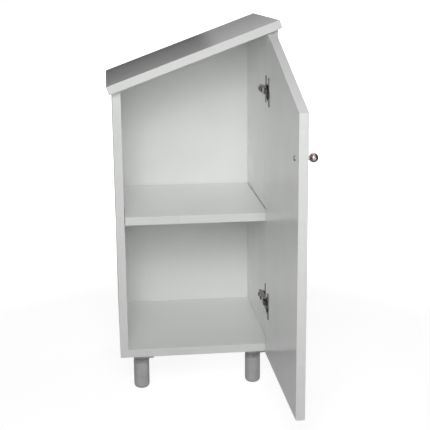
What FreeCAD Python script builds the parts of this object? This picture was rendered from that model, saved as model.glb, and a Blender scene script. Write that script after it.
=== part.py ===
import FreeCAD, Part
import math
import os

# A narrow bathroom column cabinet with a sloping top, on four levelling legs.
# Millimetres. X runs from the low left side to the tall right side, Y from the front to the back, Z up.
# Built with X = 0 on the outer left face, Y = 0 on the carcass front and Z = 0 on the floor, then moved
# so that the origin is under the middle of the whole cabinet with its door open.

# Carcass boards
cabinet_width = 350.0
cabinet_depth = 350.0
board = 18.0
low_side_height = 588.5
top_slope = 20.0
top_overhang_low = 6.0
top_overhang_high = 6.0
edge_round = 1.0

# Back panel, held in grooves all round
back_thickness = 4.0
back_inset = 16.0
groove_depth = 8.0
groove_clearance = 0.2

# Glued dowels that join the boards
dowel_diameter = 8.0
dowel_in_side = 12.0
dowel_in_bottom = 23.0
dowel_in_top = 11.0
dowel_in_side_edge = 22.0
dowel_edge_distance = 45.0
dowels_per_joint = 3
glue_fit = 0.05
hole_spare = 0.5

# Loose shelf on four pins
shelf_height = 320.0
shelf_setback = 5.0
shelf_side_gap = 1.5
shelf_back_gap = 2.0
shelf_pin_diameter = 5.0
shelf_pin_in_side = 9.0
shelf_pin_tongue = 9.0
shelf_pin_width = 10.0
shelf_pin_thickness = 3.0
shelf_pin_front = 50.0
shelf_pin_back = 60.0

# Door, drawn shut and then swung to its rest pose
door_thickness = 18.0
door_gap = 2.0
door_reveal = 2.0
door_top_gap = 1.8
door_corner_gap = 1.8
door_drop = 3.5
door_open_angle = 90.5

# Knob and the screw that holds it
knob_from_free_edge = 37.5
knob_below_top = 87.7
knob_ball = 17.5
knob_reach = 17.0
knob_neck = 7.0
knob_foot = 11.0
knob_foot_thickness = 2.0
knob_foot_taper = 2.0
knob_screw_diameter = 4.0
knob_screw_depth = 9.0
knob_screw_head = 10.5
knob_screw_head_height = 2.6
knob_screw_crown = 6.4
knob_screw_rim = 1.3
knob_hole_clearance = 0.3

# Cup hinges: one above the underside of the carcass, one below the top at the hinged side
lower_hinge_up = 118.0
upper_hinge_below_top = 122.5
arm_pivot_off_side = 5.5
arm_pivot_behind_front = 1.0
cup_pivot_from_edge = 9.5
cup_pivot_depth = 6.0
link_turn_ratio = -0.4
hinge_pin_diameter = 2.5
pin_running_fit = 0.05
pin_press_fit = 0.02
link_thickness = 2.0
link_width = 10.4
link_eye_diameter = 4.6
link_side_gap = 0.4
link_knee_inside_cup = (-1.0, -10.0)
link_knee_outside_cup = (-5.0, -6.5)
link_knee_at_edge = (-5.0, 0.0)
cup_diameter = 35.0
cup_depth = 13.5
cup_wall = 1.0
cup_edge_distance = 5.0
cup_recess_clearance = 0.1
cup_lug_thickness = 2.0
cup_lug_reach = 5.5
flange_thickness = 1.2
flange_length = 60.0
flange_width = 13.0
flange_corner = 4.0
flange_ring = 38.0
cup_screw_spacing = 45.0
cup_screw_offset = 9.5
plate_line = 37.0
plate_wing_length = 58.0
plate_wing_width = 13.0
plate_wing_thickness = 2.0
plate_corner = 4.0
plate_screw_spacing = 32.0
plate_rail_height = 11.0
plate_rail_width = 10.8
plate_rail_front = 18.0
plate_rail_back = 60.0
arm_sheet = 1.4
arm_back = 64.0
arm_web_front = 7.0
arm_ear_diameter = 6.4
arm_foot_gap = 1.5
arm_screw_line = 53.0
adjusting_screw_line = 27.0
machine_screw_diameter = 5.0
machine_screw_head = 9.0
machine_screw_head_height = 2.6
machine_screw_crown = 7.2
machine_screw_rim = 1.6
machine_screw_in_rail = 7.0
adjusting_screw_diameter = 4.5
thread_fit = 0.05

# Countersunk wood screws
wood_screw_diameter = 4.0
wood_screw_head = 7.6
wood_screw_head_height = 1.8
wood_screw_length = 13.0
wood_screw_point = 1.6

# Levelling legs: socket screwed under the carcass, tube, and foot on a spindle
leg_height = 90.0
leg_inset = 47.0
leg_diameter = 35.0
foot_height = 29.0
foot_round = 9.0
foot_bevel = 0.6
spindle_diameter = 10.0
spindle_length = 27.0
spindle_fit = 0.1
spindle_end_spare = 3.0
socket_height = 29.0
socket_plate_thickness = 6.0
socket_plate_low = 17.5
socket_plate_high = 27.0
socket_plate_half_depth = 40.0
socket_rib_thickness = 4.0
socket_rib_drop = 20.0
socket_rib_margin = 2.0
spigot_diameter = 27.0
spigot_length = 20.0
spigot_end_spare = 1.0
spigot_fit = 0.1
leg_screw_from_edge = 6.0


def vector(x, y, z):
    return FreeCAD.Vector(x, y, z)


def block(low, high):
    """A box between two corners."""
    return Part.makeBox(high[0] - low[0], high[1] - low[1], high[2] - low[2], vector(*low))


def rod(start, direction, diameter, length):
    return Part.makeCylinder(diameter / 2, length, vector(*start), vector(*direction))


def prism_along_y(points, front, back):
    """An outline in X and Z, drawn from one Y to another."""
    corners = [vector(x, front, z) for x, z in points]
    face = Part.Face(Part.makePolygon(corners + corners[:1]))
    return face.extrude(vector(0, back - front, 0))


def turned(profile, base, direction):
    """A turned piece: (radius, distance) points spun about an axis that starts at base."""
    corners = [vector(radius, 0, distance) for radius, distance in profile]
    face = Part.Face(Part.makePolygon(corners + corners[:1]))
    shape = face.revolve(vector(0, 0, 0), vector(0, 0, 1), 360)
    shape.Placement = FreeCAD.Placement(vector(*base), FreeCAD.Rotation(vector(0, 0, 1), vector(*direction)))
    return shape


def joined(first, *others):
    return first.fuse(list(others)).removeSplitter()


def rounded(shape, radius):
    return shape.makeFillet(radius, shape.Edges)


def wood_screw(head_top, direction):
    """A countersunk screw whose head is flush at head_top and that goes in along direction."""
    shank = wood_screw_diameter / 2
    head = wood_screw_head / 2
    outline = [(0, 0), (head, 0), (shank, wood_screw_head_height),
               (shank, wood_screw_length - wood_screw_point), (0, wood_screw_length)]
    return turned(outline, head_top, direction)


def wood_screw_hole(head_top, direction):
    """The hole and countersink that such a screw fills, with the thread's fit."""
    shank = wood_screw_diameter / 2 + thread_fit
    head = wood_screw_head / 2 + thread_fit
    depth = wood_screw_length + hole_spare
    outline = [(0, 0), (head, 0), (shank, wood_screw_head_height), (shank, depth), (0, depth)]
    return turned(outline, head_top, direction)


def pan_screw(diameter, head, crown, head_height, rim, length, head_top, direction):
    """A screw with a domed head: head_top is the middle of its crown, length counts from under the head."""
    end = head_height + length
    outline = [(0, 0), (crown / 2, 0), (head / 2, head_height - rim), (head / 2, head_height),
               (diameter / 2, head_height), (diameter / 2, end), (0, end)]
    return turned(outline, head_top, direction)


def edges_along(shape, direction):
    """The straight edges that run along a direction."""
    axis = vector(*direction)
    return [edge for edge in shape.Edges if edge.tangentAt(edge.FirstParameter).cross(axis).Length < 1e-6]


def strip(points, thickness, low, high):
    """A bent flat bar seen on edge: round-ended straight runs between (x, y) points, from low to high Z."""
    runs = []
    for (x0, y0), (x1, y1) in zip(points, points[1:]):
        length = math.hypot(x1 - x0, y1 - y0)
        run = block((0, -thickness / 2, low), (length, thickness / 2, high))
        run.rotate(vector(0, 0, 0), vector(0, 0, 1), math.degrees(math.atan2(y1 - y0, x1 - x0)))
        run.translate(vector(x0, y0, 0))
        runs.append(run)
    knees = [rod((x, y, low), (0, 0, 1), thickness, high - low) for x, y in points]
    return joined(runs[0], *runs[1:], *knees)


def turn_point(point, centre, degrees):
    angle = math.radians(degrees)
    x, y = point[0] - centre[0], point[1] - centre[1]
    return (centre[0] + x * math.cos(angle) - y * math.sin(angle),
            centre[1] + x * math.sin(angle) + y * math.cos(angle))


def underside(x):
    """Height of the top board's underside at x."""
    return carcass_bottom + low_side_height + x * math.tan(math.radians(top_slope))


# Places that several pieces share
carcass_bottom = leg_height
across = math.cos(math.radians(top_slope))
uphill = math.sin(math.radians(top_slope))
inner_left = board
inner_right = cabinet_width - board
inner_floor = carcass_bottom + board
back_face = cabinet_depth - back_inset - back_thickness
shelf_top = carcass_bottom + shelf_height
shelf_bottom = shelf_top - board
door_inner = -door_gap
door_outer = -door_gap - door_thickness
door_bottom = carcass_bottom - door_drop
door_hinge_edge = cabinet_width - door_reveal
door_free_edge = door_reveal
top_front = door_outer
hinge_levels = {"lower": carcass_bottom + lower_hinge_up,
                "upper": underside(inner_right) - upper_hinge_below_top}
arm_pivot = (inner_right - arm_pivot_off_side, arm_pivot_behind_front)
cup_pivot_shut = (door_hinge_edge - cup_pivot_from_edge, door_inner - cup_pivot_depth)
link_turn = link_turn_ratio * door_open_angle
cup_pivot_open = turn_point(cup_pivot_shut, arm_pivot, link_turn)
open_corner = turn_point((door_hinge_edge, door_inner), cup_pivot_shut, door_open_angle)
open_corner = (open_corner[0] + cup_pivot_open[0] - cup_pivot_shut[0],
               open_corner[1] + cup_pivot_open[1] - cup_pivot_shut[1])
leg_places = {"front_left": (leg_inset, leg_inset), "front_right": (cabinet_width - leg_inset, leg_inset),
              "back_left": (leg_inset, cabinet_depth - leg_inset),
              "back_right": (cabinet_width - leg_inset, cabinet_depth - leg_inset)}
nodes = {}


def swing_open(shape):
    """Take a piece drawn on the shut door to the open rest pose."""
    moved = shape.copy()
    moved.rotate(vector(*cup_pivot_shut, 0), vector(0, 0, 1), door_open_angle)
    moved.translate(vector(cup_pivot_open[0] - cup_pivot_shut[0], cup_pivot_open[1] - cup_pivot_shut[1], 0))
    return moved


# Boards: two sides with slanted upper edges, the bottom between them, the top over them and the shut door
left_side = prism_along_y([(0, carcass_bottom), (inner_left, carcass_bottom),
                           (inner_left, underside(inner_left)), (0, underside(0))], 0, cabinet_depth)
right_side = prism_along_y([(inner_right, carcass_bottom), (cabinet_width, carcass_bottom),
                            (cabinet_width, underside(cabinet_width)), (inner_right, underside(inner_right))],
                           0, cabinet_depth)
bottom = block((inner_left, 0, carcass_bottom), (inner_right, cabinet_depth, inner_floor))
low_end = -top_overhang_low * across
high_end = cabinet_width + top_overhang_high * across
lift_x = -board * uphill
lift_z = board * across
top = prism_along_y([(low_end, underside(low_end)), (high_end, underside(high_end)),
                     (high_end + lift_x, underside(high_end) + lift_z),
                     (low_end + lift_x, underside(low_end) + lift_z)], top_front, cabinet_depth)
top = rounded(top, edge_round)

# Back panel and the grooves that hold it
groove_front = back_face - groove_clearance
groove_back = back_face + back_thickness + groove_clearance
groove_left = inner_left - groove_depth
groove_right = inner_right + groove_depth
groove_low = inner_floor - groove_depth
groove_rise = groove_depth / across
left_side = left_side.cut(block((groove_left, groove_front, carcass_bottom),
                                (inner_left, groove_back, underside(cabinet_width))))
right_side = right_side.cut(block((inner_right, groove_front, carcass_bottom),
                                  (groove_right, groove_back, underside(cabinet_width))))
bottom = bottom.cut(block((inner_left, groove_front, groove_low), (inner_right, groove_back, inner_floor)))
top = top.cut(prism_along_y([(groove_left, underside(groove_left)), (groove_right, underside(groove_right)),
                             (groove_right, underside(groove_right) + groove_rise),
                             (groove_left, underside(groove_left) + groove_rise)], groove_front, groove_back))
panel_left = groove_left + groove_clearance
panel_right = groove_right - groove_clearance
panel_rise = groove_rise - groove_clearance
nodes["back_panel"] = prism_along_y([(panel_left, groove_low + groove_clearance),
                                     (panel_right, groove_low + groove_clearance),
                                     (panel_right, underside(panel_right) + panel_rise),
                                     (panel_left, underside(panel_left) + panel_rise)],
                                    back_face, back_face + back_thickness)

# Dowels: level ones between the sides and the bottom, upright ones between the sides and the top
dowel_run = back_face - 2 * dowel_edge_distance
dowel_lines = [dowel_edge_distance + dowel_run * i / (dowels_per_joint - 1) for i in range(dowels_per_joint)]
bottom_dowels = []
top_dowels = []
for line in dowel_lines:
    for face_x, way in ((inner_left, 1), (inner_right, -1)):
        middle = carcass_bottom + board / 2
        dowel = rod((face_x - way * dowel_in_side, line, middle), (way, 0, 0), dowel_diameter,
                    dowel_in_side + dowel_in_bottom)
        hole = rod((face_x - way * (dowel_in_side + hole_spare), line, middle), (way, 0, 0),
                   dowel_diameter + 2 * glue_fit, dowel_in_side + dowel_in_bottom + 2 * hole_spare)
        bottom_dowels.append(dowel)
        bottom = bottom.cut(hole)
        if way == 1:
            left_side = left_side.cut(hole)
        else:
            right_side = right_side.cut(hole)
    for side_x in (board / 2, cabinet_width - board / 2):
        seat = underside(side_x)
        dowel = rod((side_x, line, seat - dowel_in_side_edge), (0, 0, 1), dowel_diameter,
                    dowel_in_side_edge + dowel_in_top)
        hole = rod((side_x, line, seat - dowel_in_side_edge - hole_spare), (0, 0, 1),
                   dowel_diameter + 2 * glue_fit, dowel_in_side_edge + dowel_in_top + 2 * hole_spare)
        top_dowels.append(dowel)
        top = top.cut(hole)
        if side_x < cabinet_width / 2:
            left_side = left_side.cut(hole)
        else:
            right_side = right_side.cut(hole)
nodes["bottom_dowels"] = Part.makeCompound(bottom_dowels)
nodes["top_dowels"] = Part.makeCompound(top_dowels)

# Shelf, and the flat-tongued pins that it lies on
shelf = block((inner_left + shelf_side_gap, shelf_setback, shelf_bottom),
              (inner_right - shelf_side_gap, back_face - shelf_back_gap, shelf_top))
nodes["shelf"] = rounded(shelf, edge_round)
shelf_pins = []
pin_middle = shelf_bottom - shelf_pin_thickness - shelf_pin_diameter / 2
for line in (shelf_pin_front, back_face - shelf_pin_back):
    for face_x, way in ((inner_left, 1), (inner_right, -1)):
        plug = rod((face_x - way * shelf_pin_in_side, line, pin_middle), (way, 0, 0), shelf_pin_diameter,
                   shelf_pin_in_side + shelf_pin_tongue)
        near, far = sorted((face_x, face_x + way * shelf_pin_tongue))
        tongue = block((near, line - shelf_pin_width / 2, pin_middle),
                       (far, line + shelf_pin_width / 2, shelf_bottom))
        shelf_pins.append(joined(plug, tongue))
        hole = rod((face_x - way * (shelf_pin_in_side + hole_spare), line, pin_middle), (way, 0, 0),
                   shelf_pin_diameter + 2 * glue_fit, shelf_pin_in_side + hole_spare)
        if way == 1:
            left_side = left_side.cut(hole)
        else:
            right_side = right_side.cut(hole)
nodes["shelf_pins"] = Part.makeCompound(shelf_pins)

# Door panel, its high corner cut level to pass under the top as it opens; knob and knob screw
passing_level = underside(open_corner[0]) - door_corner_gap
level_start = open_corner[0] + (door_top_gap - door_corner_gap) / math.tan(math.radians(top_slope))
door = rounded(prism_along_y([(door_free_edge, door_bottom), (door_hinge_edge, door_bottom),
                              (door_hinge_edge, passing_level), (level_start, passing_level),
                              (door_free_edge, underside(door_free_edge) - door_top_gap)],
                             door_outer, door_inner), edge_round)
knob_x = door_free_edge + knob_from_free_edge
knob_z = underside(door_free_edge) - door_top_gap - knob_below_top
door = door.cut(rod((knob_x, door_outer, knob_z), (0, 1, 0), knob_screw_diameter + 2 * knob_hole_clearance,
                    door_thickness))
knob_seat = (knob_x, door_outer, knob_z)
knob = turned([(0, 0), (knob_foot / 2, 0), (knob_foot / 2, knob_foot_thickness),
               (knob_neck / 2, knob_foot_thickness + knob_foot_taper), (knob_neck / 2, knob_reach),
               (0, knob_reach)], knob_seat, (0, -1, 0))
ball = Part.makeSphere(knob_ball / 2, vector(knob_x, door_outer - knob_reach, knob_z))
thread = rod(knob_seat, (0, -1, 0), knob_screw_diameter + 2 * thread_fit, knob_screw_depth + hole_spare)
nodes["door_knob"] = swing_open(joined(knob, ball).cut(thread))
knob_screw = pan_screw(knob_screw_diameter, knob_screw_head, knob_screw_crown, knob_screw_head_height,
                       knob_screw_rim, door_thickness + knob_screw_depth,
                       (knob_x, door_inner + knob_screw_head_height, knob_z), (0, -1, 0))
nodes["knob_screw"] = swing_open(knob_screw)

# Cup hinges: plate and arm on the right side, a cranked link on two pins, and a cup let into the door
cup_middle = door_hinge_edge - cup_edge_distance - cup_diameter / 2
arm_screw_places = ((arm_screw_line, machine_screw_diameter),
                    (adjusting_screw_line, adjusting_screw_diameter))
for level, middle in hinge_levels.items():
    wing_x = inner_right - plate_wing_thickness
    rail_x = inner_right - plate_rail_height
    web_x = rail_x - arm_sheet

    # Mounting plate with two screwed wings and a rail that carries the arm
    wings = block((wing_x, plate_line - plate_wing_width / 2, middle - plate_wing_length / 2),
                  (inner_right, plate_line + plate_wing_width / 2, middle + plate_wing_length / 2))
    rail = block((rail_x, plate_rail_front, middle - plate_rail_width / 2),
                 (inner_right, plate_rail_back, middle + plate_rail_width / 2))
    plate = joined(wings.makeFillet(plate_corner, edges_along(wings, (1, 0, 0))), rail)
    plate_screws = []
    for offset in (-plate_screw_spacing / 2, plate_screw_spacing / 2):
        head = (wing_x, plate_line, middle + offset)
        plate_screws.append(wood_screw(head, (1, 0, 0)))
        plate = plate.cut(wood_screw_hole(head, (1, 0, 0)))
        right_side = right_side.cut(wood_screw_hole(head, (1, 0, 0)))
    for line, diameter in arm_screw_places:
        plate = plate.cut(rod((rail_x, line, middle), (1, 0, 0), diameter + 2 * thread_fit,
                              machine_screw_in_rail + hole_spare))
    nodes[level + "_mounting_plate"] = plate
    nodes[level + "_plate_screws"] = Part.makeCompound(plate_screws)

    # Arm: a folded channel over the rail, with an ear each side of the link
    cheek_inside = link_width / 2 + link_side_gap
    cheek_outside = cheek_inside + arm_sheet
    arm_foot_x = inner_right - plate_wing_thickness - arm_foot_gap
    web = block((web_x, arm_web_front, middle - cheek_outside), (rail_x, arm_back, middle + cheek_outside))
    cheeks = []
    for low in (middle - cheek_outside, middle + cheek_inside):
        cheeks.append(block((web_x, arm_pivot[1], low), (arm_foot_x, arm_back, low + arm_sheet)))
        cheeks.append(rod((*arm_pivot, low), (0, 0, 1), arm_ear_diameter, arm_sheet))
    arm = joined(web, *cheeks)
    arm = arm.cut(rod((*arm_pivot, middle - cheek_outside), (0, 0, 1), hinge_pin_diameter + 2 * pin_press_fit,
                      2 * cheek_outside))
    screws = []
    for line, diameter in arm_screw_places:
        arm = arm.cut(rod((web_x, line, middle), (1, 0, 0), diameter + 2 * thread_fit, arm_sheet))
        screws.append(pan_screw(diameter, machine_screw_head, machine_screw_crown, machine_screw_head_height,
                                machine_screw_rim, arm_sheet + machine_screw_in_rail,
                                (web_x - machine_screw_head_height, line, middle), (1, 0, 0)))
    nodes[level + "_hinge_arm"] = arm
    nodes[level + "_arm_screw"] = screws[0]
    nodes[level + "_adjusting_screw"] = screws[1]
    nodes[level + "_arm_pin"] = rod((*arm_pivot, middle - cheek_outside), (0, 0, 1), hinge_pin_diameter,
                                    2 * cheek_outside)

    # Link: cranked round the door's edge, drawn at the open pose
    knees = [(open_corner[0] + dx, open_corner[1] + dy)
             for dx, dy in (link_knee_inside_cup, link_knee_outside_cup, link_knee_at_edge)]
    low = middle - link_width / 2
    high = middle + link_width / 2
    link = strip([cup_pivot_open, *knees, arm_pivot], link_thickness, low, high)
    for pivot in (cup_pivot_open, arm_pivot):
        link = joined(link, rod((*pivot, low), (0, 0, 1), link_eye_diameter, link_width))
    for pivot in (cup_pivot_open, arm_pivot):
        link = link.cut(rod((*pivot, low), (0, 0, 1), hinge_pin_diameter + 2 * pin_running_fit, link_width))
    nodes[level + "_hinge_link"] = link

    # Cup with its flange and the two lugs that hold the second pin
    cup = rod((cup_middle, door_inner, middle), (0, -1, 0), cup_diameter, cup_depth)
    hollow = rod((cup_middle, door_inner + flange_thickness, middle), (0, -1, 0), cup_diameter - 2 * cup_wall,
                 cup_depth + flange_thickness - cup_wall)
    screw_line = cup_middle - cup_screw_offset
    flange = block((screw_line - flange_width / 2, door_inner, middle - flange_length / 2),
                   (screw_line + flange_width / 2, door_inner + flange_thickness, middle + flange_length / 2))
    flange = flange.makeFillet(flange_corner, edges_along(flange, (0, 1, 0)))
    ring = rod((cup_middle, door_inner, middle), (0, 1, 0), flange_ring, flange_thickness)
    body = joined(cup, flange, ring).cut(hollow)
    lug_floor = door_inner - cup_depth + cup_wall
    lug_top = cup_pivot_shut[1] + link_eye_diameter / 2
    lugs = []
    for low in (middle - cheek_inside - cup_lug_thickness, middle + cheek_inside):
        lug = block((cup_pivot_shut[0] - link_eye_diameter / 2, lug_floor - cup_wall / 2, low),
                    (cup_pivot_shut[0] + cup_lug_reach, lug_top, low + cup_lug_thickness))
        lugs.append(lug.common(cup))
    pin_length = 2 * (cheek_inside + cup_lug_thickness)
    pin_start = (*cup_pivot_shut, middle - cheek_inside - cup_lug_thickness)
    body = joined(body, *lugs)
    body = body.cut(rod(pin_start, (0, 0, 1), hinge_pin_diameter + 2 * pin_press_fit, pin_length))
    recess = rod((cup_middle, door_inner, middle), (0, -1, 0), cup_diameter + 2 * cup_recess_clearance,
                 cup_depth + cup_recess_clearance)
    door = door.cut(recess)
    cup_screws = []
    for offset in (-cup_screw_spacing / 2, cup_screw_spacing / 2):
        head = (screw_line, door_inner + flange_thickness, middle + offset)
        cup_screws.append(swing_open(wood_screw(head, (0, -1, 0))))
        body = body.cut(wood_screw_hole(head, (0, -1, 0)))
        door = door.cut(wood_screw_hole(head, (0, -1, 0)))
    nodes[level + "_hinge_cup"] = swing_open(body)
    nodes[level + "_cup_pin"] = swing_open(rod(pin_start, (0, 0, 1), hinge_pin_diameter, pin_length))
    nodes[level + "_cup_screws"] = Part.makeCompound(cup_screws)
nodes["door_panel"] = swing_open(door)

# Legs: each has a ribbed socket, a tube on a spigot and a round-bottomed foot on a spindle
leg_radius = leg_diameter / 2
socket_low = carcass_bottom - socket_height
plate_low = carcass_bottom - socket_plate_thickness
leg_screws = []
for corner, (leg_x, leg_y) in leg_places.items():
    plate = block((leg_x - socket_plate_low, leg_y - socket_plate_half_depth, plate_low),
                  (leg_x + socket_plate_high, leg_y + socket_plate_half_depth, carcass_bottom))
    tower = rod((leg_x, leg_y, socket_low), (0, 0, 1), leg_diameter, socket_height)
    rib_low = plate_low - socket_rib_drop
    ribs = []
    for way, reach in ((0, socket_plate_high), (90, socket_plate_half_depth), (-90, socket_plate_half_depth)):
        rib = prism_along_y([(leg_x, rib_low), (leg_x + leg_radius - edge_round, rib_low),
                             (leg_x + reach - socket_rib_margin, plate_low), (leg_x, plate_low)],
                            leg_y - socket_rib_thickness / 2, leg_y + socket_rib_thickness / 2)
        rib.rotate(vector(leg_x, leg_y, 0), vector(0, 0, 1), way)
        ribs.append(rib)
    socket = joined(plate, tower, *ribs)
    socket = socket.cut(rod((leg_x, leg_y, socket_low), (0, 0, 1), spigot_diameter + 2 * spigot_fit,
                            spigot_length + spigot_end_spare))
    for screw_x in (leg_x - socket_plate_low + leg_screw_from_edge,
                    leg_x + socket_plate_high - leg_screw_from_edge):
        for way in (-1, 1):
            head = (screw_x, leg_y + way * (socket_plate_half_depth - leg_screw_from_edge), plate_low)
            leg_screws.append(wood_screw(head, (0, 0, 1)))
            socket = socket.cut(wood_screw_hole(head, (0, 0, 1)))
            bottom = bottom.cut(wood_screw_hole(head, (0, 0, 1)))
    nodes["leg_socket_" + corner] = socket

    tube_low = foot_height
    tube_profile = [(0, tube_low), (leg_radius - foot_bevel, tube_low), (leg_radius, tube_low + foot_bevel),
                    (leg_radius, socket_low), (spigot_diameter / 2, socket_low),
                    (spigot_diameter / 2, socket_low + spigot_length), (0, socket_low + spigot_length)]
    tube = turned(tube_profile, (leg_x, leg_y, 0), (0, 0, 1))
    tube = tube.cut(rod((leg_x, leg_y, tube_low), (0, 0, 1), spindle_diameter + 2 * spindle_fit,
                        spindle_length + spindle_end_spare))
    nodes["leg_tube_" + corner] = tube

    foot = rod((leg_x, leg_y, 0), (0, 0, 1), leg_diameter, foot_height)
    rim = [edge for edge in foot.Edges if edge.Closed and edge.CenterOfMass.z < foot_height / 2]
    foot = foot.makeFillet(foot_round, rim)
    lip = [edge for edge in foot.Edges if edge.Closed and edge.CenterOfMass.z > foot_height - edge_round]
    foot = foot.makeChamfer(foot_bevel, lip)
    nodes["foot_" + corner] = joined(foot, rod((leg_x, leg_y, foot_height / 2), (0, 0, 1), spindle_diameter,
                                               foot_height / 2 + spindle_length))
nodes["leg_screws"] = Part.makeCompound(leg_screws)
nodes["left_side_panel"] = left_side
nodes["right_side_panel"] = right_side
nodes["bottom_panel"] = bottom
nodes["top_panel"] = top

# Bring the middle of the whole cabinet, door open, over the origin
extent = Part.makeCompound(list(nodes.values())).optimalBoundingBox(False, False)
to_origin = vector(-(extent.XMin + extent.XMax) / 2, -(extent.YMin + extent.YMax) / 2, 0)
os.makedirs("parts", exist_ok=True)
for name, shape in nodes.items():
    shape.translate(to_origin)
    shape.exportStep("parts/" + name + ".step")
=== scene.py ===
import math

import bmesh
import bpy
from mathutils import Matrix, Vector


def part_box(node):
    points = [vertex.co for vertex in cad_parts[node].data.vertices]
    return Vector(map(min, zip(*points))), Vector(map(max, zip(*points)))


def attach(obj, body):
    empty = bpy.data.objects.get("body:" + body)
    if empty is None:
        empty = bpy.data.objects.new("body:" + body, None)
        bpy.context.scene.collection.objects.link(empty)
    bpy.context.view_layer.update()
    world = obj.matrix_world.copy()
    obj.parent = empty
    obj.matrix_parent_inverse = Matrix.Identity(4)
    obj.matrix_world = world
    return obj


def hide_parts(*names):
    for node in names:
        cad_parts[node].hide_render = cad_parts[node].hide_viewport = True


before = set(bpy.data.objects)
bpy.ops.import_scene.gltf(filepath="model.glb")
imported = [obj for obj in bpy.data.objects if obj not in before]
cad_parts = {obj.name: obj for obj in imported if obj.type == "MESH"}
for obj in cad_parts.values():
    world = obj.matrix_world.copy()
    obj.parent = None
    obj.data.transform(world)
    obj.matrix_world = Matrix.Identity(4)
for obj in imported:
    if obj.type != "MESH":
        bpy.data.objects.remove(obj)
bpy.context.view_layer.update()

# Side panels: two upright boards of white faced chipboard, sawn on the slant along the top.
# Their front and lower edges carry a glued white band, and a groove near the rear holds the back panel.
# Dowels join them to the bottom and to the top.
left_low, left_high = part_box("left_side_panel")
right_low, right_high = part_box("right_side_panel")
back_low, back_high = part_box("back_panel")
board_thickness = left_high.x - left_low.x
slope_rise = (right_high.z - left_high.z) / (right_high.x - left_high.x)
groove_spare = 0.0002
groove_front = back_low.y - groove_spare
groove_back = back_high.y + groove_spare
groove_depth = left_high.x - back_low.x + groove_spare
board_edge_round = 0.0005
shaded_white = (0.856, 0.867, 0.857, 1.0)
clean_white = (0.876, 0.888, 0.877, 1.0)
band_white = (0.718, 0.728, 0.716, 1.0)


class Wire:
    """One output among a material's nodes. Arithmetic on it adds Math nodes, and add() any other node."""

    def __init__(self, tree, socket):
        self.tree = tree
        self.socket = socket

    def add(self, kind, settings, inputs, output=0):
        node = self.tree.nodes.new(kind)
        for name, value in settings.items():
            setattr(node, name, value)
        for name, value in inputs.items():
            if isinstance(value, Wire):
                self.tree.links.new(value.socket, node.inputs[name])
            else:
                node.inputs[name].default_value = value
        return Wire(self.tree, node.outputs[output])

    def into(self, node, name):
        self.tree.links.new(self.socket, node.inputs[name])

    def maths(self, operation, first, second):
        return self.add("ShaderNodeMath", {"operation": operation}, {0: first, 1: second})

    def __add__(self, other):
        return self.maths("ADD", self, other)

    __radd__ = __add__

    def __sub__(self, other):
        return self.maths("SUBTRACT", self, other)

    def __rsub__(self, other):
        return self.maths("SUBTRACT", other, self)

    def __mul__(self, other):
        return self.maths("MULTIPLY", self, other)

    __rmul__ = __mul__

    def noise(self, scale, detail, roughness=0.55):
        return self.add("ShaderNodeTexNoise", {}, {"Vector": self, "Scale": scale, "Detail": detail,
                                                   "Roughness": roughness})

    def stretched(self, factors):
        return self.add("ShaderNodeMapping", {}, {"Vector": self, "Scale": factors})

    def between(self, low, high):
        """Nought below low and one above high, with a soft step."""
        return self.add("ShaderNodeMapRange", {"interpolation_type": "SMOOTHSTEP"},
                        {"Value": self, "From Min": low, "From Max": high})

    def blend(self, first, second):
        """The first colour where this wire is nought and the second where it is one."""
        return self.add("ShaderNodeMix", {"data_type": "RGBA"}, {0: self, 6: first, 7: second}, 2)

    def bump(self, strength, distance):
        return self.add("ShaderNodeBump", {}, {"Height": self, "Strength": strength, "Distance": distance})


def start_finish(name):
    """A new material, a wire from its Object coordinates, and its shader."""
    material = bpy.data.materials.new(name)
    material.use_nodes = True
    tree = material.node_tree
    place = Wire(tree, None).add("ShaderNodeTexCoord", {}, {}, "Object")
    return material, place, tree.nodes["Principled BSDF"]


def white_faced_board(name):
    """White melamine facing: nearly even, with faint clouds, faint smears in its gloss and a soft pebble."""
    material, place, shader = start_finish(name)
    clouds = place.noise(4.5, 2.0).between(0.3, 0.7)
    face = clouds.blend(shaded_white, clean_white)
    band = place.add("ShaderNodeAttribute", {"attribute_name": "band"}, {}, 2)
    band.blend(face, band_white).into(shader, "Base Color")
    smears = place.noise(7.0, 1.0).between(0.3, 0.7)
    (0.21 + 0.03 * smears + 0.06 * band).into(shader, "Roughness")
    waves = place.noise(10.0, 0.0)
    pebble = place.noise(1200.0, 1.0)
    (waves + 0.004 * pebble).bump(0.3, 0.0004).into(shader, "Normal")
    return material


def only(kind, items):
    """The vertices or the edges among what an operator gives back."""
    return [item for item in items if isinstance(item, kind)]


def slab(outline, push):
    """A flat outline pushed along a vector, as a closed solid."""
    shape = bmesh.new()
    face = shape.faces.new([shape.verts.new(point) for point in outline])
    grown = bmesh.ops.extrude_face_region(shape, geom=[face])["geom"]
    bmesh.ops.translate(shape, verts=only(bmesh.types.BMVert, grown), vec=push)
    bmesh.ops.recalc_face_normals(shape, faces=shape.faces)
    return shape


def soften(shape, width, steps=3):
    """Round the outward edges that turn sharply."""
    sharp_turn = 0.6
    sharp = [edge for edge in shape.edges if edge.is_convex and edge.calc_face_angle(0.0) > sharp_turn]
    bmesh.ops.bevel(shape, geom=sharp, offset=width, offset_type="OFFSET", segments=steps, profile=0.5,
                    affect="EDGES", clamp_overlap=True, material=-1)


def mark_band(shape, *directions):
    """Mark the faces that look in these directions as banded edges."""
    nearly_along = 0.75
    layer = shape.faces.layers.float.new("band")
    shape.normal_update()
    for face in shape.faces:
        face[layer] = float(any(face.normal.dot(Vector(way)) > nearly_along for way in directions))


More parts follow.
